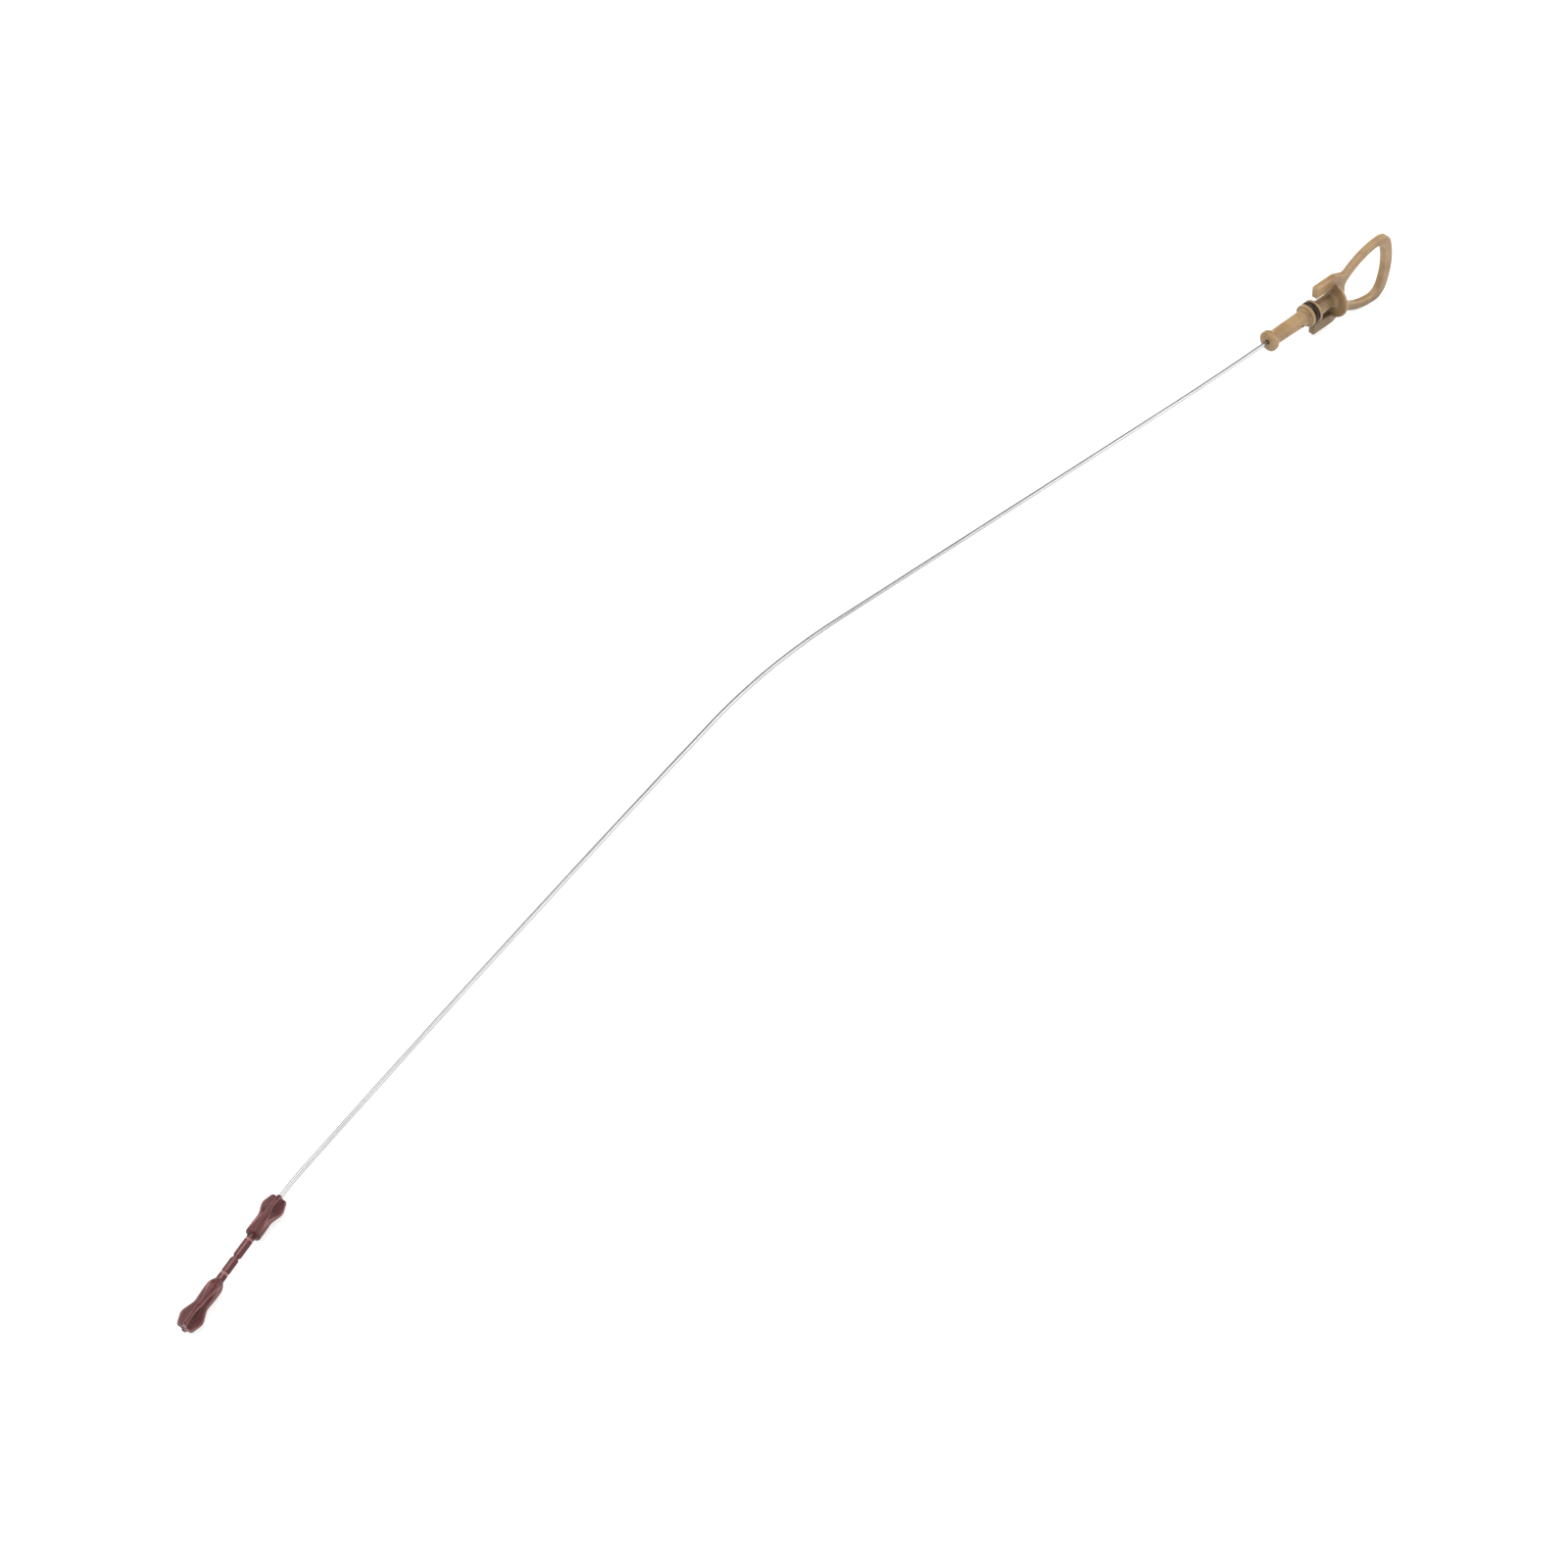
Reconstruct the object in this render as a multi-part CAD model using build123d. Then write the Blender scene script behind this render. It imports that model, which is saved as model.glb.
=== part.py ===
from build123d import *
import os
from math import cos, degrees, radians, sin, sqrt

os.makedirs("parts", exist_ok=True)

# Sizes in millimetres. X runs along the handle from nose to loop, Z is up, the part lies on Z = 0.

# Wire
wire_d = 2.0
wire_r = wire_d / 2
lead_len = 10.0              # straight run in front of the nose
set_radius = 900.0           # slight set that lets the raised handle meet the flatter wire
set_turn = 1.3               # turns are in degrees, seen from above
first_len = 213.5            # straight run up to the formed bend
bend_radius = 318.0
bend_turn = 15.8
long_radius = 10500.0        # slow curve after the bend
long_turn = 1.56
tip_bend_radius = 120.0
tip_turn = 5.3
tip_lead_len = 3.0           # straight run in front of the tip

# Fits
bore_gap = 0.02              # round the wire in both bores
end_gap = 0.05               # between a wire end and the floor of its bore
seal_gap = 0.05              # each side of the rubber ring in its groove
bore_r = wire_r + bore_gap

# Handle: turned shape
nose_r = 5.5
nose_land = 2.6
nose_len = 5.2
nose_edge = 0.8
nose_mouth_r = 1.4
nose_mouth_depth = 0.6
barrel_r = 3.85
barrel_root_r = 4.15
barrel_flare = 0.6
flange_r = 6.05
flange_x = 27.5
flange_t = 1.9
seal_d = 3.2
seal_outer_r = 6.1
rear_flange_r = 6.15
rear_flange_t = 1.5
neck_r = 3.8
collar_x = 46.8
collar_t = 1.3
collar_r = 10.6
collar_root = 2.4
collar_far_y = 3.8           # the collar is cut flat on the far side
nose_root = 2.0              # blends the nose bead into the barrel
flange_edge = 0.3
rear_flange_edge = 0.25
collar_edge = 0.3
handle_bore = 42.0
groove_w = seal_d + 2 * seal_gap
groove_r = seal_outer_r - seal_d - seal_gap
rear_flange_x = flange_x + flange_t + groove_w
rear_flange_end = rear_flange_x + rear_flange_t
collar_back = collar_x + collar_t

# Handle: window in the barrel that held the wire while it was moulded in
window_x = 21.9
window_len = 2.0
window_w = 1.5
window_drop = 0.8            # below the axis
window_floor = 1.8

# Handle: flat loop and prongs, all in the upright plane of the axis
plate_t = 3.7
plate_edge = 0.5
prong_len = 13.5             # in front of the collar
prong_in = 8.4
prong_out = 15.0
shoulder_lead = 0.9          # from the collar to where the prongs' outside slopes in
loop_half = 20.3
loop_reach = 33.4            # from the collar to the loop's widest place
crown_reach = 10.95          # from there to the end of the loop
opening_reach = 24.9         # and back to the start of the opening
arm_radius = 40.0
arm_w = 4.4
crown_radius = 43.0
crown_w = 6.1
crown_corner = 9.0
opening_corner = 6.0
opening_root = 2.6
valley_round = 3.0
yoke_lap = 1.0               # how far the prongs' bar runs into the arms
shoulder_round = 2.0
prong_round = 0.7
prong_end_x = collar_x - prong_len
shoulder_x = collar_x + shoulder_lead
loop_wide_x = collar_x + loop_reach
loop_end_x = loop_wide_x + crown_reach
opening_x = loop_wide_x - opening_reach

# Level tip: two finned ends on a stem, each end measured from its own outer face
tip_len = 62.7
tip_bore = 12.0
upper_len = 18.5
lower_len = 22.6
bulge_end_r = 3.25
upper_bulge_r = 4.75         # before its edge is rounded
lower_bulge_r = 4.9
bulge_x = 4.9                # from the outer face to the widest place
bulge_round = 4.0
upper_dip_x = 9.7            # from the outer face to the narrowest place of the sleeve
lower_dip_x = 10.6
upper_dip_r = 3.0
lower_dip_r = 2.85
dip_round = 5.0
dip_rise = 4.5               # from the narrowest place to the full sleeve
sleeve_r = 3.16
sleeve_round = 0.8
sleeve_taper = 2.4           # length of the cone that leads the lower sleeve down to the stem
taper_round = 2.5
tip_edge = 0.35
fin_count = 4
fin_root = 1.25              # half thickness where two fins meet
fin_crest = 0.4              # half thickness at the reach of the grooves
groove_reach = 5.4
groove_round = 0.7
groove_climb = 10.0          # degrees, where the floor of a groove runs out into the sleeve
upper_groove = 6.5           # length of level floor
lower_groove = 12.0
stem_r = 1.7
stem_flat_r = 1.43
mark_upper = 20.1            # from the upper outer face
mark_lower = 36.5
mark_w = 0.7
mark_depth = 0.4
mark_ring = 0.9              # round ring below each mark, left without flats
waist_x = 29.25
waist_w = 2.0
waist_r = 1.1

# How it lies, in degrees
handle_rise = 5.6            # the loop stands on its edge, the nose end is low
tip_roll = -15.0             # turn of the fins from upright
first_fall = 2.0             # first guess of the wire's slope before the bend
first_climb = 0.5            # and after it
settle_passes = 12


def corner(face, x, y):
    return min(face.vertices(), key=lambda v: (v.X - x) ** 2 + (v.Y - y) ** 2)


def rounded(face, corners, radius):
    for x, y in corners:
        face = fillet(corner(face, x, y), radius)
    return face


def bevelled(face, corners, size):
    for x, y in corners:
        face = chamfer(corner(face, x, y), size)
    return face


def turned_body():
    points = [
        (0, 0),
        (0, nose_r),
        (nose_land, nose_r),
        (nose_len, barrel_r),
        (flange_x, barrel_root_r),
        (flange_x, flange_r),
        (flange_x + flange_t, flange_r),
        (flange_x + flange_t, groove_r),
        (rear_flange_x, groove_r),
        (rear_flange_x, rear_flange_r),
        (rear_flange_end, rear_flange_r),
        (rear_flange_end, neck_r),
        (collar_x, neck_r),
        (collar_x, collar_r),
        (collar_back, collar_r),
        (collar_back, 0),
    ]
    face = make_face(Polyline(*points, close=True))
    face = rounded(face, [(0, nose_r)], nose_edge)
    face = rounded(face, [(nose_land, nose_r), (nose_len, barrel_r)], nose_root)
    face = bevelled(face, [(flange_x, barrel_root_r)], barrel_flare)
    face = bevelled(face, [(flange_x, flange_r), (flange_x + flange_t, flange_r)], flange_edge)
    rear_rim = [(rear_flange_x, rear_flange_r), (rear_flange_end, rear_flange_r)]
    face = bevelled(face, rear_rim, rear_flange_edge)
    face = rounded(face, [(collar_x, neck_r)], collar_root)
    face = bevelled(face, [(collar_x, collar_r), (collar_back, collar_r)], collar_edge)
    body = revolve(face, Axis.X)
    far_side = Box(collar_t + collar_root, collar_r, 2 * collar_r, align=(Align.MAX, Align.MIN, Align.CENTER))
    return body - Pos(collar_back, collar_far_y, 0) * far_side


def arm_height(x, radius):
    # height of an arm's outer or inner arc over the axis
    return sqrt(radius ** 2 - (loop_wide_x - x) ** 2) - (arm_radius - loop_half)


def two_arcs(radius):
    drop = arm_radius - loop_half
    lower = Pos(loop_wide_x, -drop) * Circle(radius)
    upper = Pos(loop_wide_x, drop) * Circle(radius)
    return lower & upper


def meeting(arm, crown):
    # where an arm circle meets the crown circle, on the upper side
    ax, ay = loop_wide_x, loop_half - arm_radius
    cx = loop_end_x - crown_radius
    gap = sqrt((ax - cx) ** 2 + ay ** 2)
    along = (crown ** 2 - arm ** 2 + gap ** 2) / (2 * gap)
    across = sqrt(crown ** 2 - along ** 2)
    ux, uy = (ax - cx) / gap, ay / gap
    return cx + along * ux - across * uy, along * uy + across * ux


def past(x):
    # the part of the loop's plane beyond a station on the axis
    reach = loop_end_x - x
    return Pos(x, 0) * Rectangle(2 * reach, 4 * loop_half, align=(Align.MIN, Align.CENTER))


def loop_outline():
    crown_centre = Pos(loop_end_x - crown_radius, 0)
    face = (two_arcs(arm_radius) & crown_centre * Circle(crown_radius) & past(collar_x)).face()
    x, y = meeting(arm_radius, crown_radius)
    return rounded(face, [(x, y), (x, -y)], crown_corner)


def loop_opening():
    crown_centre = Pos(loop_end_x - crown_radius, 0)
    inner_arm = arm_radius - arm_w
    inner_crown = crown_radius - crown_w
    face = (two_arcs(inner_arm) & crown_centre * Circle(inner_crown) & past(opening_x)).face()
    x, y = meeting(inner_arm, inner_crown)
    face = rounded(face, [(x, y), (x, -y)], opening_corner)
    root = arm_height(opening_x, inner_arm)
    return rounded(face, [(opening_x, root), (opening_x, -root)], opening_root)


def yoke_outline():
    # the outside slopes in from the prongs to meet the arms where the opening starts
    valley = arm_height(opening_x, arm_radius)
    slope = (prong_out - valley) / (opening_x - shoulder_x)
    half = [
        (prong_end_x, prong_in),
        (prong_end_x, prong_out),
        (shoulder_x, prong_out),
        (opening_x + yoke_lap, valley - slope * yoke_lap),
    ]
    mirrored = [(x, -y) for x, y in reversed(half)]
    back = [(collar_x, -prong_in), (collar_x, prong_in)]
    face = make_face(Polyline(*half, *mirrored, *back, close=True))
    face = rounded(face, [(shoulder_x, prong_out), (shoulder_x, -prong_out)], shoulder_round)
    ends = [(prong_end_x, prong_out), (prong_end_x, prong_in)]
    ends += [(x, -y) for x, y in ends]
    return rounded(face, ends, prong_round)


def flat_plate():
    outline = (loop_outline() + yoke_outline()).face()
    valley = arm_height(opening_x, arm_radius)
    outline = rounded(outline, [(opening_x, valley), (opening_x, -valley)], valley_round)
    outline = outline - loop_opening()
    plate = extrude(Plane.XZ * outline, plate_t / 2, both=True)
    return chamfer(plate.faces().filter_by(Axis.Y).edges(), plate_edge)


def handle():
    body = turned_body() + flat_plate()
    body -= Rot(0, 90, 0) * Cylinder(bore_r, 2 * handle_bore)
    mouth = Cone(nose_mouth_r, bore_r, nose_mouth_depth, align=(Align.CENTER, Align.CENTER, Align.MIN))
    body -= Rot(0, 90, 0) * mouth
    window = Box(window_len, barrel_r, window_w, align=(Align.CENTER, Align.MAX, Align.CENTER))
    body -= Pos(window_x, -window_floor, -window_drop) * window
    return body


def seal_ring():
    middle_r = seal_outer_r - seal_d / 2
    middle_x = flange_x + flange_t + groove_w / 2
    return Pos(middle_x, 0, 0) * Rot(0, 90, 0) * Torus(middle_r, seal_d / 2)


def end_profile(length, bulge_r, dip_x, dip_r, taper):
    return [
        (0, 0),
        (0, bulge_end_r),
        (bulge_x, bulge_r),
        (dip_x, dip_r),
        (dip_x + dip_rise, sleeve_r),
        (length - taper, sleeve_r),
        (length, stem_r),
    ]


def notch(x, width, bottom_r):
    return [(x - width / 2, stem_r), (x, bottom_r), (x + width / 2, stem_r)]


def tip_body():
    upper = end_profile(upper_len, upper_bulge_r, upper_dip_x, upper_dip_r, 0)
    lower = end_profile(lower_len, lower_bulge_r, lower_dip_x, lower_dip_r, sleeve_taper)
    lower = [(tip_len - x, r) for x, r in reversed(lower)]
    points = upper + notch(mark_upper, mark_w, stem_r - mark_depth)
    points += notch(waist_x, waist_w, waist_r)
    points += notch(mark_lower, mark_w, stem_r - mark_depth) + lower
    face = make_face(Polyline(*points, close=True))
    for half, end_round in ((upper, sleeve_round), (lower[::-1], taper_round)):
        face = bevelled(face, [half[1]], tip_edge)
        face = rounded(face, [half[2]], bulge_round)
        face = rounded(face, half[3:5], dip_round)
        face = rounded(face, [half[5]], end_round)
    return revolve(face, Axis.X)


def fin_groove(level, length):
    # the space between two fins: a level floor first, then one that climbs out of the sleeve
    corners = [
        (fin_root, fin_root),
        (fin_crest, groove_reach),
        (groove_reach, groove_reach),
        (groove_reach, fin_crest),
    ]
    face = make_face(Polyline(*corners, close=True))
    face = Plane.YZ * rounded(face, [(fin_root, fin_root)], groove_round)
    out = sin(radians(groove_climb)) / sqrt(2)
    climb = Vector(cos(radians(groove_climb)), out, out)
    flat_part = Pos(-tip_edge, 0, 0) * extrude(face, level + tip_edge, dir=(1, 0, 0))
    climbing = extrude(Pos(level, 0, 0) * face, length - level, dir=climb)
    return flat_part + climbing


def stem_flat(start, end):
    cut = Box(end - start, 2 * stem_r, stem_r, align=(Align.MIN, Align.CENTER, Align.MIN))
    return Rot(45, 0, 0) * Pos(start, 0, stem_flat_r) * cut


def level_tip():
    body = tip_body()
    upper = fin_groove(upper_groove, upper_len)
    lower = mirror(fin_groove(lower_groove, lower_len), Plane.YZ.offset(tip_len / 2))
    ring = mark_w / 2 + mark_ring
    flats = stem_flat(upper_len, mark_upper) + stem_flat(mark_upper + ring, mark_lower)
    flats += stem_flat(mark_lower + ring, tip_len - lower_len)
    cuts = []
    for i in range(fin_count):
        turn = Rot(i * 360 / fin_count, 0, 0)
        cuts += [turn * upper, turn * lower, turn * flats]
    body -= cuts
    body -= Rot(0, 90, 0) * Cylinder(bore_r, 2 * tip_bore)
    return body


def heading(turn, rise):
    # unit vector that leads away from the handle
    flat = cos(radians(rise))
    return Vector(-cos(radians(turn)) * flat, -sin(radians(turn)) * flat, sin(radians(rise)))


def straight(start, way, length):
    end = start + way * length
    return Line(start, end), end


def bend(start, way, next_way, radius):
    angle = radians(way.get_angle(next_way))
    inward = (next_way - way * way.dot(next_way)).normalized()
    centre = start + inward * radius
    middle = centre + (way * sin(angle / 2) - inward * cos(angle / 2)) * radius
    end = centre + (way * sin(angle) - inward * cos(angle)) * radius
    lowest = centre.Z - radius * sqrt(inward.Z ** 2 + way.Z ** 2)
    return ThreePointArc(start, middle, end), end, lowest


def centreline(nose, fall, climb):
    # fall and climb are the slopes before and after the formed bend
    out = heading(0, -handle_rise)
    down = heading(set_turn, -fall)
    beyond = heading(set_turn + bend_turn, climb)
    late = heading(set_turn + bend_turn + long_turn, climb)
    flat = heading(set_turn + bend_turn + long_turn + tip_turn, 0)
    start = nose - out * (handle_bore - end_gap)
    lead, at = straight(start, out, handle_bore - end_gap + lead_len)
    ease, at, _ = bend(at, out, down, set_radius)
    first, at = straight(at, down, first_len)
    formed, at, lowest = bend(at, down, beyond, bend_radius)
    slow, at, _ = bend(at, beyond, late, long_radius)
    last, at, _ = bend(at, late, flat, tip_bend_radius)
    entry = at + flat * tip_lead_len
    into, _ = straight(at, flat, tip_lead_len + tip_bore - end_gap)
    return [lead, ease, first, formed, slow, last, into], start, lowest, entry, flat


def lay_down(nose, tip_height):
    # slopes that bring the bend and the tip to the floor together
    fall, climb = first_fall, first_climb
    for _ in range(settle_passes):
        edges, start, lowest, entry, flat = centreline(nose, fall, climb)
        fall += degrees((lowest - wire_r) / first_len)
        climb -= degrees((entry.Z - tip_height) / (long_radius * radians(long_turn)))
    return centreline(nose, fall, climb)


def wire(edges, start):
    section = Plane(origin=start, z_dir=edges[0] % 0) * Circle(wire_r)
    return sweep(section, path=Wire(edges))


def assembled():
    tilted = Rot(0, -handle_rise, 0)
    grip = tilted * handle()
    tip = Rot(tip_roll, 0, 0) * level_tip()
    nose = Vector(0, 0, -grip.bounding_box().min.Z)
    edges, start, _, entry, flat = lay_down(nose, -tip.bounding_box().min.Z)
    placed = Plane(origin=entry, x_dir=flat, z_dir=Vector(0, 0, 1)).location
    return {
        "handle": Pos(nose) * grip,
        "seal_ring": Pos(nose) * tilted * seal_ring(),
        "wire": wire(edges, start),
        "level_tip": placed * tip,
    }


pieces = assembled()
boxes = [piece.bounding_box() for piece in pieces.values()]
mid_x = (min(b.min.X for b in boxes) + max(b.max.X for b in boxes)) / 2
mid_y = (min(b.min.Y for b in boxes) + max(b.max.Y for b in boxes)) / 2
floor_z = min(b.min.Z for b in boxes)
for name, piece in pieces.items():
    homed = Pos(-mid_x, -mid_y, -floor_z) * piece
    export_step(homed, f"parts/{name}.step")
    print(name, round(homed.volume, 1), homed.is_valid, homed.bounding_box())
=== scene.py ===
import math
import bpy
from mathutils import Matrix, Vector


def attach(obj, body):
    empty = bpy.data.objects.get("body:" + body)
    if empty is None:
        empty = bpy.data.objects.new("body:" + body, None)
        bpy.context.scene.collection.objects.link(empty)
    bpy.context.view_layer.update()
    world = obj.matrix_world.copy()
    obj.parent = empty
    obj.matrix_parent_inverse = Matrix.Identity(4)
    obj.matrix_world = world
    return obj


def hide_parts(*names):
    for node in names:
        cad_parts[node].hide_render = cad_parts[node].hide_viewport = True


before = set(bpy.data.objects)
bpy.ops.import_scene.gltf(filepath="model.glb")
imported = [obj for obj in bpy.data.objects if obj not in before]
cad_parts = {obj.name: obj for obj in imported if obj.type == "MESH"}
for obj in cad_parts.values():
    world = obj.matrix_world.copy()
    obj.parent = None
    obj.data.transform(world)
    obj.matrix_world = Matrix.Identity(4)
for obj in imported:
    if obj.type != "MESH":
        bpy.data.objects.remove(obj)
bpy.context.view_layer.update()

mm = 0.001
print("dipstick: solids loaded", sorted(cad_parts))


# what the finishes share

colourUnder, colourOver, colourOut = 6, 7, 2  # colour sockets of a mix node


def newFinish(name):
    finish = bpy.data.materials.new(name)
    finish.use_nodes = True
    tree = finish.node_tree
    return finish, tree, tree.nodes["Principled BSDF"]


def addNode(tree, kind, **settings):
    node = tree.nodes.new(kind)
    for key, value in settings.items():
        setattr(node, key, value)
    return node


def speckle(tree, coords, size, detail, rough=0.5):
    # size is the width of one blotch in millimetres
    noise = addNode(tree, "ShaderNodeTexNoise")
    noise.inputs["Scale"].default_value = 1 / (size * mm)
    noise.inputs["Detail"].default_value = detail
    noise.inputs["Roughness"].default_value = rough
    tree.links.new(coords, noise.inputs["Vector"])
    return noise.outputs["Fac"]


def spread(tree, factor, low, high, fromLow=0.0, fromHigh=1.0):
    reach = addNode(tree, "ShaderNodeMapRange")
    reach.inputs["From Min"].default_value = fromLow
    reach.inputs["From Max"].default_value = fromHigh
    reach.inputs["To Min"].default_value = low
    reach.inputs["To Max"].default_value = high
    tree.links.new(factor, reach.inputs["Value"])
    return reach.outputs["Result"]


def blendColours(tree, factor, tones):
    # each tone is a place on the ramp and its colour
    ramp = addNode(tree, "ShaderNodeValToRGB")
    band = ramp.color_ramp
    while len(band.elements) < len(tones):
        band.elements.new(0.5)
    for element, (place, colour) in zip(band.elements, tones):
        element.position = place
        element.color = (*colour, 1)
    tree.links.new(factor, ramp.inputs["Fac"])
    return ramp.outputs["Color"]


def layOver(tree, factor, under, colour):
    # a second colour laid over the first where the factor is high
    mix = addNode(tree, "ShaderNodeMix", data_type="RGBA")
    tree.links.new(factor, mix.inputs["Factor"])
    tree.links.new(under, mix.inputs[colourUnder])
    mix.inputs[colourOver].default_value = (*colour, 1)
    return mix.outputs[colourOut]


def paintedCreviceShade(tree, tint, reach, kept):
    # painted shade: inside corners, grooves and parts near the bench are darkened by occlusion, down to
    # the share of the colour that is kept
    shade = addNode(tree, "ShaderNodeAmbientOcclusion", samples=12)
    shade.inputs["Distance"].default_value = reach * mm
    fade = spread(tree, shade.outputs["AO"], kept, 1.0)
    mix = addNode(tree, "ShaderNodeMix", data_type="RGBA", blend_type="MULTIPLY")
    mix.inputs["Factor"].default_value = 1.0
    tree.links.new(tint, mix.inputs[colourUnder])
    tree.links.new(fade, mix.inputs[colourOver])
    return mix.outputs[colourOut]


def roundedNormal(tree, width):
    soft = addNode(tree, "ShaderNodeBevel", samples=8)
    soft.inputs["Radius"].default_value = width * mm
    return soft.outputs["Normal"]


def paintedEdgeHighlight(tree, tint, width, fullAt, colour, strength):
    # painted highlight: edges get a paler tone, found where the rounded normal leaves the flat one
    flat = addNode(tree, "ShaderNodeNewGeometry")
    match = addNode(tree, "ShaderNodeVectorMath", operation="DOT_PRODUCT")
    tree.links.new(roundedNormal(tree, width), match.inputs[0])
    tree.links.new(flat.outputs["Normal"], match.inputs[1])
    edge = spread(tree, match.outputs["Value"], strength, 0.0, fullAt, 1.0)
    return layOver(tree, edge, tint, colour)


def paint(tree, bsdf, tint, rough):
    tree.links.new(tint, bsdf.inputs["Base Color"])
    tree.links.new(rough, bsdf.inputs["Roughness"])


def roughen(tree, bsdf, height, depth, strength, softEdge=0.0):
    bump = addNode(tree, "ShaderNodeBump")
    bump.inputs["Strength"].default_value = strength
    bump.inputs["Distance"].default_value = depth * mm
    tree.links.new(height, bump.inputs["Height"])
    if softEdge:
        tree.links.new(roundedNormal(tree, softEdge), bump.inputs["Normal"])
    tree.links.new(bump.outputs["Normal"], bsdf.inputs["Normal"])


# handle: tan moulded nylon, a little cloudy

handleFinish = {
    "tones": [
        (0.3, (0.222, 0.129, 0.052)),
        (0.5, (0.3, 0.188, 0.085)),
        (0.72, (0.375, 0.246, 0.12)),
    ],
    "clouds": {"size": 9.0, "detail": 4, "rough": 0.55},
    "edges": {"width": 0.6, "fullAt": 0.82, "colour": (0.6, 0.45, 0.3), "strength": 0.9},
    "paintedShade": {"reach": 14.0, "kept": 0.12},
    "rough": (0.3, 0.44),
    "grain": {"size": 0.16, "detail": 2},
    "bumps": {"depth": 0.02, "strength": 0.25, "softEdge": 0.7},
    "shine": 0.38,
    "underSkin": {"share": 0.12, "radius": (1.0, 0.6, 0.3), "deep": 1.5},
}


def tanNylon():
    look = handleFinish
    finish, tree, bsdf = newFinish("tanNylon")
    coords = addNode(tree, "ShaderNodeTexCoord").outputs["Object"]
    clouds = speckle(tree, coords, **look["clouds"])
    tint = blendColours(tree, clouds, look["tones"])
    # painted highlight along the handle's edges
    tint = paintedEdgeHighlight(tree, tint, **look["edges"])
    # painted shade in inside corners and on parts near the bench
    tint = paintedCreviceShade(tree, tint, **look["paintedShade"])
    paint(tree, bsdf, tint, spread(tree, clouds, *look["rough"]))
    roughen(tree, bsdf, speckle(tree, coords, **look["grain"]), **look["bumps"])
    bsdf.inputs["Specular IOR Level"].default_value = look["shine"]
    under = look["underSkin"]  # light that goes a little way into the plastic
    bsdf.inputs["Subsurface Weight"].default_value = under["share"]
    bsdf.inputs["Subsurface Radius"].default_value = under["radius"]
    bsdf.inputs["Subsurface Scale"].default_value = under["deep"] * mm
    return finish


# sealing ring: black rubber

ringFinish = {
    "tones": [
        (0.35, (0.012, 0.006, 0.004)),
        (0.7, (0.032, 0.018, 0.012)),
    ],
    "clouds": {"size": 1.2, "detail": 4},
    "rough": (0.22, 0.32),
    "grain": {"size": 0.1, "detail": 2},
    "bumps": {"depth": 0.01, "strength": 0.2},
    "shine": 0.2,
}


def blackRubber():
    look = ringFinish
    finish, tree, bsdf = newFinish("blackRubber")
    coords = addNode(tree, "ShaderNodeTexCoord").outputs["Object"]
    clouds = speckle(tree, coords, **look["clouds"])
    tint = blendColours(tree, clouds, look["tones"])
    paint(tree, bsdf, tint, spread(tree, clouds, *look["rough"]))
    roughen(tree, bsdf, speckle(tree, coords, **look["grain"]), **look["bumps"])
    bsdf.inputs["Specular IOR Level"].default_value = look["shine"]
    return finish


# wire: bright drawn steel with fine lines along it

wireFinish = {
    "tones": [
        (0.3, (0.34, 0.344, 0.348)),
        (0.7, (0.475, 0.479, 0.483)),
    ],
    "streaks": {"size": 0.35, "detail": 3},
    "stretch": 60.0,  # length of a streak to its width
    "rough": (0.18, 0.28),
    "bumps": {"depth": 0.01, "strength": 0.1},
}


def drawnSteel():
    look = wireFinish
    finish, tree, bsdf = newFinish("drawnSteel")
    coords = addNode(tree, "ShaderNodeUVMap", uv_map="alongWire").outputs["UV"]
    lines = addNode(tree, "ShaderNodeMapping")
    lines.inputs["Scale"].default_value = (1 / look["stretch"], 1, 1)
    tree.links.new(coords, lines.inputs["Vector"])
    streaks = speckle(tree, lines.outputs["Vector"], **look["streaks"])
    tint = blendColours(tree, streaks, look["tones"])
    paint(tree, bsdf, tint, spread(tree, streaks, *look["rough"]))
    roughen(tree, bsdf, streaks, **look["bumps"])
    bsdf.inputs["Metallic"].default_value = 1.0
    return finish


# level tip: maroon plastic, lighter on the crests, the round ridges, the level marks and the end faces,
# partly rubbed on the tube and partly a painted highlight

tipFinish = {
    "tones": [
        (0.3, (0.054, 0.0127, 0.0133)),
        (0.5, (0.086, 0.0222, 0.0234)),
        (0.7, (0.128, 0.036, 0.0373)),
    ],
    "clouds": {"size": 0.5, "detail": 3, "rough": 0.55},
    "stretch": 9.0,  # length of a blotch to its width
    "rubAndHighlightTone": (0.275, 0.126, 0.119),
    "patches": {"low": 0.55, "high": 1.3, "fromLow": 0.3, "fromHigh": 0.7},
    "paintedShade": {"reach": 2.5, "kept": 0.1},
    "rough": (0.26, 0.4),
    "grain": {"size": 0.12, "detail": 2},
    "bumps": {"depth": 0.015, "strength": 0.25},
    "shine": 0.24,
}


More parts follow.
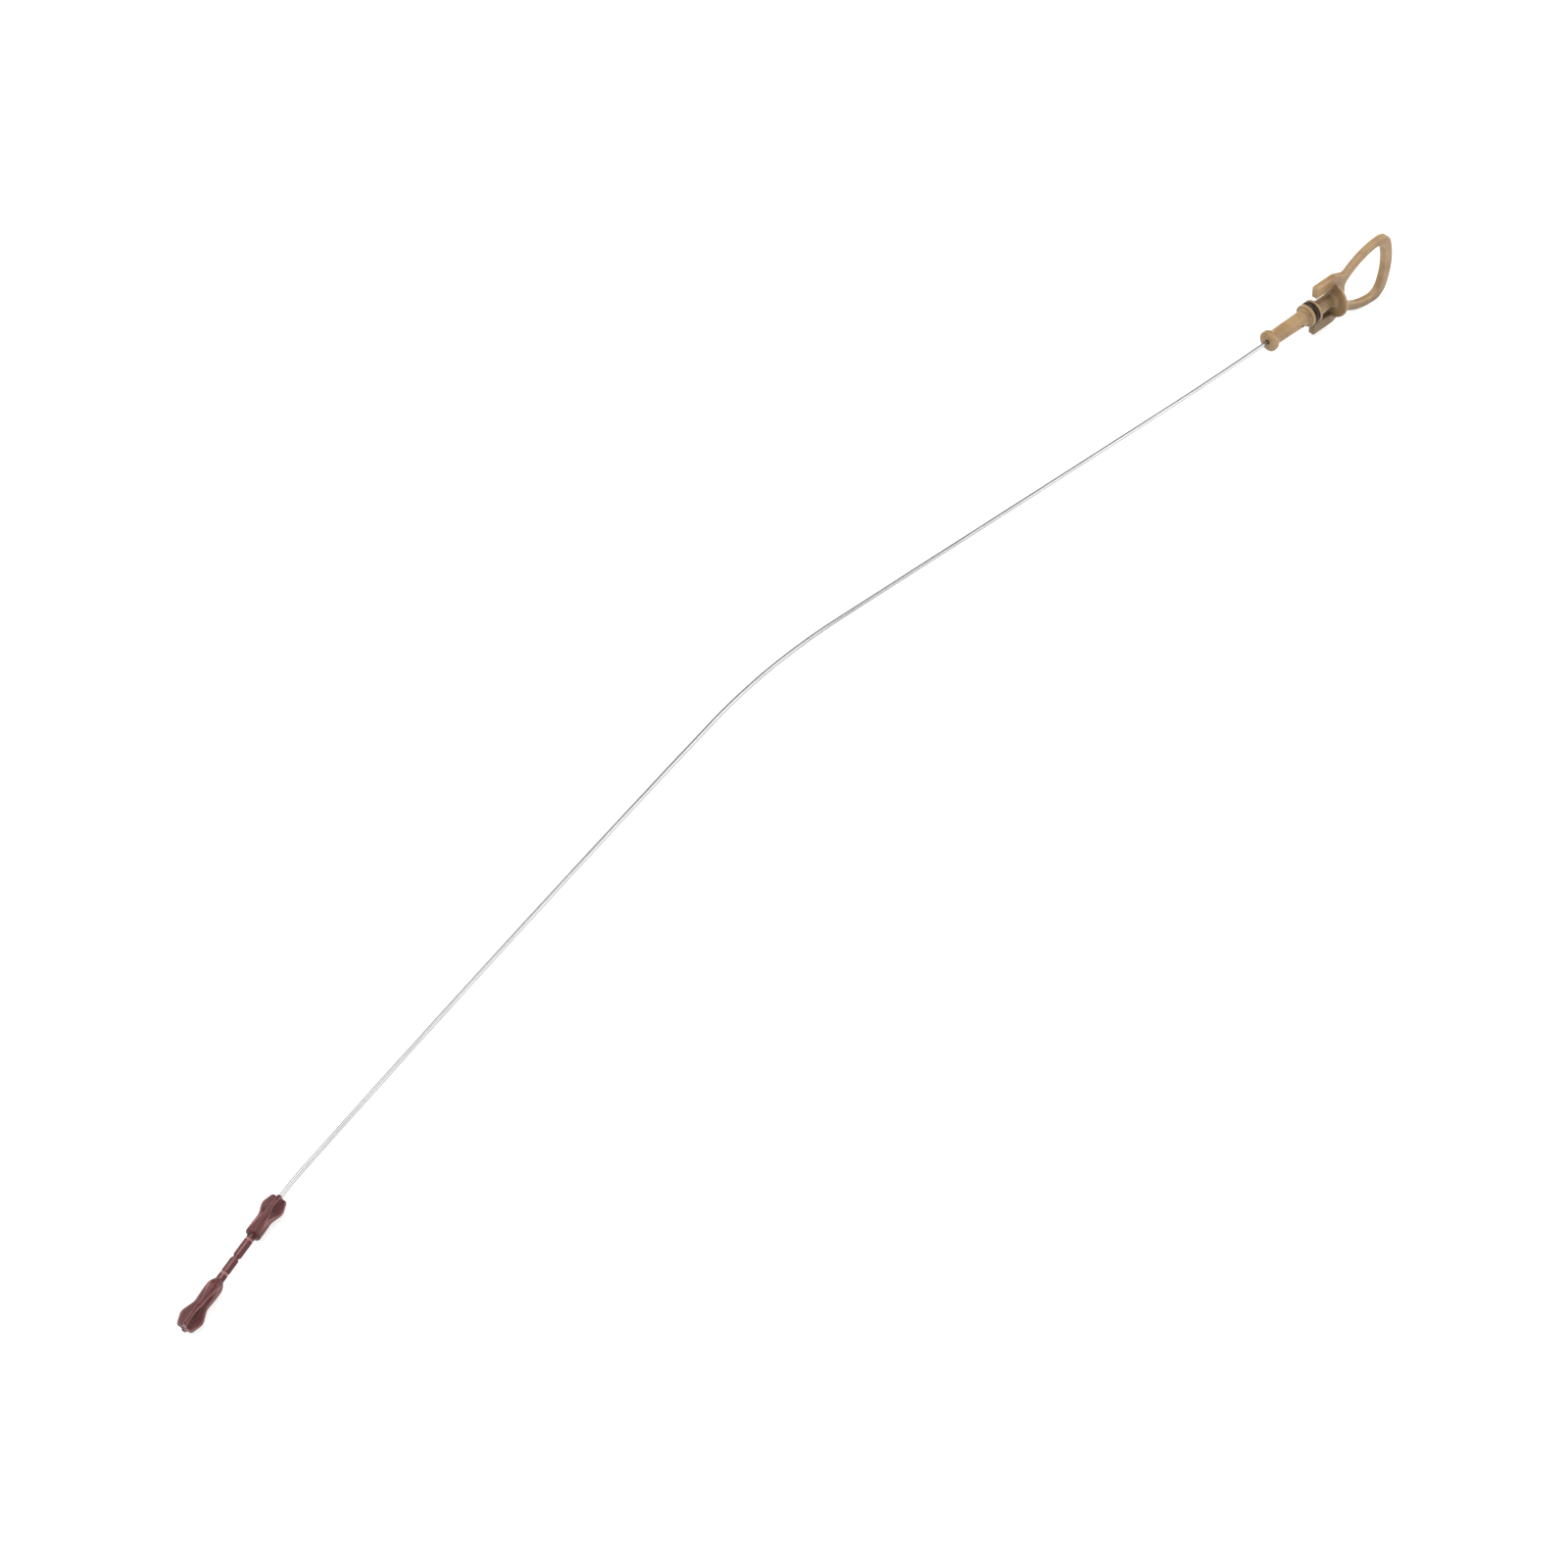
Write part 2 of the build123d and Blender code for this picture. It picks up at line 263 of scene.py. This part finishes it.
def maroonPlastic(heading):
    look = tipFinish
    finish, tree, bsdf = newFinish("maroonPlastic")
    coords = addNode(tree, "ShaderNodeTexCoord").outputs["Object"]
    drag = addNode(tree, "ShaderNodeMapping", vector_type="TEXTURE")  # blotches drawn out along the tip
    drag.inputs["Rotation"].default_value[2] = math.radians(heading)
    drag.inputs["Scale"].default_value[0] = look["stretch"]
    tree.links.new(coords, drag.inputs["Vector"])
    clouds = speckle(tree, drag.outputs["Vector"], **look["clouds"])
    tint = blendColours(tree, clouds, look["tones"])
    rubAndHighlight = addNode(tree, "ShaderNodeAttribute", attribute_name="rubAndHighlight")
    patchy = addNode(tree, "ShaderNodeMath", operation="MULTIPLY", use_clamp=True)
    tree.links.new(rubAndHighlight.outputs["Fac"], patchy.inputs[0])
    tree.links.new(spread(tree, clouds, **look["patches"]), patchy.inputs[1])
    # lighter tone on crests, ridges, marks and end faces: partly rubbing, partly painted highlight
    tint = layOver(tree, patchy.outputs["Value"], tint, look["rubAndHighlightTone"])
    # painted shade in the grooves between the fins and near the bench
    tint = paintedCreviceShade(tree, tint, **look["paintedShade"])
    paint(tree, bsdf, tint, spread(tree, clouds, *look["rough"]))
    roughen(tree, bsdf, speckle(tree, coords, **look["grain"]), **look["bumps"])
    bsdf.inputs["Specular IOR Level"].default_value = look["shine"]
    return finish


def dress(node, finish):
    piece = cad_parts[node]
    piece.data.materials.clear()
    piece.data.materials.append(finish)


dress("handle", tanNylon())
dress("seal_ring", blackRubber())
print("dipstick: handle and ring dressed")


# pieces made here, with their points in millimetres

def newPiece(name, points, faces, finish, node):
    mesh = bpy.data.meshes.new(name)
    mesh.from_pydata([Vector(p) * mm for p in points], [], faces)
    mesh.materials.append(finish)
    mesh.polygons.foreach_set("use_smooth", [True] * len(mesh.polygons))
    mesh.update()
    piece = bpy.data.objects.new(name, mesh)
    bpy.context.scene.collection.objects.link(piece)
    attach(piece, "root")
    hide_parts(node)
    return piece


def skin(rings, sides):
    # quads between neighbouring rings of points, and a lid on the first and the last
    faces = []
    for i in range(rings - 1):
        for j in range(sides):
            k = (j + 1) % sides
            faces.append((i * sides + j, i * sides + k, (i + 1) * sides + k, (i + 1) * sides + j))
    last = (rings - 1) * sides
    faces.append(tuple(range(sides)))
    faces.append(tuple(last + j for j in reversed(range(sides))))
    return faces


# wire: straight runs and bends, from the end inside the handle to the end inside the tip

wireRoute = {
    "start": (356.996, 67.504, 16.662),
    "heading": (0.0, -5.6),  # turn and rise in degrees
    "runs": [
        {"straight": 51.95, "radius": 900.0, "to": (1.3, -1.5049)},
        {"straight": 213.5, "radius": 318.0, "to": (17.1, 0.6791)},
        {"straight": 0.0, "radius": 10500.0, "to": (18.66, 0.6791)},
        {"straight": 0.0, "radius": 120.0, "to": (23.96, 0.0)},
        {"straight": 14.95, "radius": 0.0, "to": None},
    ],
    "thick": 1.998,
    "sides": 32,
    "step": 2.0,
}


def wayOf(turn, rise):
    turn, rise = math.radians(turn), math.radians(rise)
    return Vector((-math.cos(turn) * math.cos(rise), -math.sin(turn) * math.cos(rise), math.sin(rise)))


def walkWire():
    # stations along the middle of the wire: place, heading, length so far
    at = Vector(wireRoute["start"])
    way = wayOf(*wireRoute["heading"])
    gone = 0.0
    stations = [(at.copy(), way.copy(), gone)]
    for run in wireRoute["runs"]:
        steps = math.ceil(run["straight"] / wireRoute["step"])
        for i in range(1, steps + 1):
            part = run["straight"] * i / steps
            stations.append((at + way * part, way.copy(), gone + part))
        at = at + way * run["straight"]
        gone += run["straight"]
        if run["to"] is None:
            continue
        after = wayOf(*run["to"])
        angle = way.angle(after)
        inward = (after - way * way.dot(after)).normalized()
        centre = at + inward * run["radius"]
        length = run["radius"] * angle
        steps = math.ceil(length / wireRoute["step"])
        for i in range(1, steps + 1):
            turned = angle * i / steps
            place = centre + (way * math.sin(turned) - inward * math.cos(turned)) * run["radius"]
            facing = way * math.cos(turned) + inward * math.sin(turned)
            stations.append((place, facing, gone + length * i / steps))
        at, way = stations[-1][0], after
        gone += length
    return stations


def unrollWire(wire, stations, sides, radius):
    # a flat map of the wire, length along it and way round it, for the drawn lines
    lines = wire.data.uv_layers.new(name="alongWire").data
    girth = 2 * math.pi * radius * mm
    for face in wire.data.polygons:
        if len(face.vertices) != 4:
            continue  # the two ends
        for corner, vertex in zip(face.loop_indices, face.vertices):
            ring, j = divmod(vertex, sides)
            if j == 0 and any(v % sides == sides - 1 for v in face.vertices):
                j = sides
            lines[corner].uv = (stations[ring][2] * mm, girth * j / sides)


def steelWire():
    stations = walkWire()
    sides = wireRoute["sides"]
    radius = wireRoute["thick"] / 2
    points = []
    for place, way, _ in stations:
        across = way.cross(Vector((0, 0, 1))).normalized()
        up = across.cross(way)
        for j in range(sides):
            angle = 2 * math.pi * j / sides
            points.append(place + (across * math.cos(angle) + up * math.sin(angle)) * radius)
    wire = newPiece("steelWire", points, skin(len(stations), sides), drawnSteel(), "wire")
    unrollWire(wire, stations, sides, radius)


steelWire()
print("dipstick: wire drawn")


# level tip: two finned ends on a slim stem, worked as rings round its axis

tipShape = {
    "entry": (-347.692, -45.254, 4.6178),
    "heading": 23.96,
    "roll": -15.0,
    "length": 62.7,
    "bore": 1.02,
    "boreDeep": 12.0,
    "stem": 1.7,
    "stemFlat": 1.43,
    "endBevel": 0.35,
    "upper": {
        "length": 18.5,
        "outline": [(0, 3.25), (4.9, 4.75), (9.7, 3.0), (14.2, 3.16), (18.5, 3.16)],
        "soften": 1.5,
        "level": 6.5,
    },
    "lower": {
        "length": 22.6,
        "outline": [(0, 3.25), (4.9, 4.9), (10.6, 2.85), (15.1, 3.16), (20.2, 3.16), (22.6, 1.7)],
        "soften": 1.4,
        "level": 12.0,
    },
    "finRoot": 1.25,
    "finCrest": 0.4,
    "finReach": 5.4,
    "climb": 10.0,
    "sleeveRound": 0.8,
    "marks": (20.1, 36.5),
    "markHalf": 0.35,
    "markDeep": 0.4,
    "markRing": 0.9,
    "waist": {"at": 29.25, "half": 1.0, "radius": 1.1},
    "rounding": {"groove": 0.5, "crest": 0.45, "flat": 0.06},
    "sides": 192,
    "steps": {"upper": 76, "stem": 118, "lower": 92},
}
# how much lighter each place is coloured: partly rubbing, partly painted highlight
tipRubAndHighlight = {
    "crest": 0.85,
    "crestWide": 0.75,
    "face": 0.6,
    "ridge": 0.6,
    "mark": 1.0,
    "markFrom": 0.7,  # share of the mark's half width that stays dark
}
quarter = math.pi / 2  # from one fin to the next, and from one flat of the stem to the next


def onLine(outline, x):
    # straight pieces between the corners, carried on past both ends
    for (x0, r0), (x1, r1) in zip(outline, outline[1:]):
        if x <= x1 or (x1, r1) == outline[-1]:
            return r0 + (r1 - r0) * (x - x0) / (x1 - x0)


def softLine(outline, x, reach):
    # mean of the line over a short stretch, which rounds its corners
    samples = 16
    total = 0.0
    for i in range(samples):
        total += onLine(outline, x + reach * ((i + 0.5) / samples * 2 - 1))
    return total / samples


def softMin(a, b, k):
    # the smaller of two, rounded where they are closer than k
    h = max(k - abs(a - b), 0.0) / k
    return min(a, b) - h * h * k / 4


def grooveRadius(angle, lift):
    # distance from the axis to the side of a fin or the floor of a groove
    shape = tipShape
    lean = (shape["finRoot"] - shape["finCrest"]) / (shape["finReach"] - shape["finRoot"])
    reach = (shape["finRoot"] + lift) * (1 + lean)
    near = angle % quarter
    one = reach / (math.sin(near) + lean * math.cos(near))
    two = reach / (math.cos(near) + lean * math.sin(near))
    return -softMin(-one, -two, shape["rounding"]["groove"])


def finnedRadius(end, x, angle, outer):
    # one end, with x from its outer face: radius there and how near it is to a crest
    shape = tipShape
    lift = max(x - end["level"], 0.0) * math.tan(math.radians(shape["climb"])) / math.sqrt(2)
    groove = grooveRadius(angle, lift)
    crest = max(1 - abs(groove - outer) / tipRubAndHighlight["crestWide"], 0.0)
    return softMin(outer, groove, shape["rounding"]["crest"]), crest


def stemRadius(x, angle, outer):
    shape = tipShape
    for mark in shape["marks"]:
        if 0 <= x - mark <= shape["markHalf"] + shape["markRing"]:
            return outer
    turned = angle % quarter - quarter / 2
    return softMin(outer, shape["stemFlat"] / math.cos(turned), shape["rounding"]["flat"])


def stemOutline(x):
    shape = tipShape
    radius = shape["stem"]
    for mark in shape["marks"]:
        near = abs(x - mark) / shape["markHalf"]
        if near < 1:
            radius -= shape["markDeep"] * (1 - near)
    waist = shape["waist"]
    near = abs(x - waist["at"]) / waist["half"]
    if near < 1:
        radius -= (shape["stem"] - waist["radius"]) * (1 - near)
    return radius


def tipStations():
    # place, outline and zone along the tip, from its upper face to its lower one
    shape = tipShape
    upper, lower = shape["upper"], shape["lower"]
    stations = []
    steps = shape["steps"]["upper"]
    for i in range(steps + 1):
        x = upper["length"] * i / steps
        outer = softLine(upper["outline"], x, upper["soften"])
        over = x - (upper["length"] - shape["sleeveRound"])
        if over > 0:
            outer -= shape["sleeveRound"] - math.sqrt(max(shape["sleeveRound"] ** 2 - over ** 2, 0.0))
        stations.append((x, outer, "upper"))
    start, end = upper["length"], shape["length"] - lower["length"]
    steps = shape["steps"]["stem"]
    for i in range(steps + 1):
        x = start + (end - start) * i / steps
        stations.append((x, stemOutline(x), "stem"))
    steps = shape["steps"]["lower"]
    for i in range(1, steps + 1):
        x = lower["length"] * (1 - i / steps)
        stations.append((shape["length"] - x, softLine(lower["outline"], x, lower["soften"]), "lower"))
    return stations


# the ring after each level mark is lighter: partly rubbed bright, partly painted highlight
def markRubAndHighlight(x):
    shape = tipShape
    for mark in shape["marks"]:
        if shape["markHalf"] * tipRubAndHighlight["markFrom"] <= x - mark <= shape["markHalf"] + shape["markRing"]:
            return tipRubAndHighlight["mark"]
    return 0.0


def ridgeRubAndHighlight(angle):
    # painted highlight on the round strips left between the flats of the stem
    turned = abs(angle % quarter - quarter / 2)
    return tipRubAndHighlight["ridge"] if turned > math.acos(tipShape["stemFlat"] / tipShape["stem"]) else 0.0


def ringAngles():
    sides = tipShape["sides"]
    return [2 * math.pi * j / sides for j in range(sides)]


def onRing(x, radius, angle):
    return (x, radius * math.cos(angle), radius * math.sin(angle))


def tipRing(x, outer, zone):
    shape = tipShape
    ring, rubAndHighlightValues = [], []
    for angle in ringAngles():
        if zone == "stem":
            radius = stemRadius(x, angle, outer)
            rubAndHighlight = max(markRubAndHighlight(x), ridgeRubAndHighlight(angle))
        else:
            inset = x if zone == "upper" else shape["length"] - x
            radius, crest = finnedRadius(shape[zone], inset, angle, outer)
            radius -= max(shape["endBevel"] - inset, 0.0)
            rubAndHighlight = max(tipRubAndHighlight["crest"] * crest, tipRubAndHighlight["face"] if inset == 0 else 0.0)
        ring.append(onRing(x, radius, angle))
        rubAndHighlightValues.append(rubAndHighlight)
    return ring, rubAndHighlightValues


def levelTip():
    shape = tipShape
    sides = shape["sides"]
    points, rubAndHighlightValues = [], []
    for x in (shape["boreDeep"], 0.0):  # the bore for the wire, from its floor out
        points += [onRing(x, shape["bore"], angle) for angle in ringAngles()]
        rubAndHighlightValues += [0.0] * sides
    for x, outer, zone in tipStations():
        ring, rubAndHighlight = tipRing(x, outer, zone)
        points += ring
        rubAndHighlightValues += rubAndHighlight
    faces = skin(len(points) // sides, sides)
    turn = Matrix.Rotation(math.radians(shape["roll"]), 3, "X")
    along = wayOf(shape["heading"], 0)
    side = Vector((0, 0, 1)).cross(along)
    placed = []
    for p in points:
        x, y, z = turn @ Vector(p)
        placed.append(Vector(shape["entry"]) + along * x + side * y + Vector((0, 0, z)))
    tip = newPiece("finnedTip", placed, faces, maroonPlastic(shape["heading"]), "level_tip")
    rubAndHighlight = tip.data.attributes.new("rubAndHighlight", "FLOAT", "POINT")
    rubAndHighlight.data.foreach_set("value", rubAndHighlightValues)


levelTip()
print("dipstick: level tip shaped")


# bench, lamps and camera, in metres

bench = {
    "size": 12.0,
    "drop": 0.0002,
    "colour": (0.45, 0.45, 0.45),
    "rough": 0.8,
    "shine": 0.1,
    "glow": 0.7,  # a lit table, which keeps shadows faint
}


def layFloor():
    mesh = bpy.data.meshes.new("benchTop")
    half = bench["size"] / 2
    corners = [(-half, -half, 0), (half, -half, 0), (half, half, 0), (-half, half, 0)]
    mesh.from_pydata(corners, [], [(0, 1, 2, 3)])
    top = bpy.data.objects.new("benchTop", mesh)
    top.location.z = -bench["drop"]
    bpy.context.scene.collection.objects.link(top)
    finish, _, bsdf = newFinish("benchWhite")
    bsdf.inputs["Base Color"].default_value = (*bench["colour"], 1)
    bsdf.inputs["Roughness"].default_value = bench["rough"]
    bsdf.inputs["Specular IOR Level"].default_value = bench["shine"]
    bsdf.inputs["Emission Color"].default_value = (1, 1, 1, 1)
    bsdf.inputs["Emission Strength"].default_value = bench["glow"]
    mesh.materials.append(finish)


lamps = {
    "over": {"at": (-0.6, 0.6, 1.9), "to": (0, 0, 0), "wide": 3.2, "deep": 3.2, "glow": 2.35},
    "panel": {"at": (1.75, -0.95, 1.03), "to": (0, -0.5, 0.5), "wide": 2.4, "deep": 2.0, "glow": 2.2},
}
studioGlow = 0.48


def hangLamps():
    for name, lamp in lamps.items():
        light = bpy.data.lights.new(name, "AREA")
        light.shape = "RECTANGLE"
        light.size = lamp["wide"]
        light.size_y = lamp["deep"]
        light.energy = math.pi * lamp["wide"] * lamp["deep"] * lamp["glow"]
        holder = bpy.data.objects.new(name, light)
        holder.location = lamp["at"]
        aim = Vector(lamp["to"]) - Vector(lamp["at"])
        holder.rotation_euler = aim.to_track_quat("-Z", "Y").to_euler()
        bpy.context.scene.collection.objects.link(holder)
    world = bpy.data.worlds.new("studio")
    world.use_nodes = True
    bpy.context.scene.world = world
    back = world.node_tree.nodes["Background"]
    back.inputs["Color"].default_value = (1, 1, 1, 1)
    back.inputs["Strength"].default_value = studioGlow


camera = {
    "at": (-0.59270, -0.62675, 0.85061),
    "yaw": 49.7015,
    "down": 46.004,
    "roll": -0.171,
    "focal": 2800.0,  # in pixels of the frame
    "frame": 1600.0,
    "sensor": 36.0,
    "clip": (0.01, 50),
}


def setCamera():
    data = bpy.data.cameras.new("photoView")
    data.sensor_fit = "HORIZONTAL"
    data.sensor_width = camera["sensor"]
    data.lens = camera["focal"] / camera["frame"] * data.sensor_width
    data.clip_start, data.clip_end = camera["clip"]
    eye = bpy.data.objects.new("photoView", data)
    yaw, down = math.radians(camera["yaw"]), math.radians(camera["down"])
    aim = Vector((math.cos(down) * math.cos(yaw), math.cos(down) * math.sin(yaw), -math.sin(down)))
    turn = aim.to_track_quat("-Z", "Y").to_matrix().to_4x4()
    turn = turn @ Matrix.Rotation(math.radians(camera["roll"]), 4, "Z")
    turn.translation = camera["at"]
    eye.matrix_world = turn
    bpy.context.scene.collection.objects.link(eye)
    bpy.context.scene.camera = eye


layFloor()
hangLamps()
setCamera()
bpy.context.scene.view_settings.view_transform = "Standard"
print("dipstick: studio set")
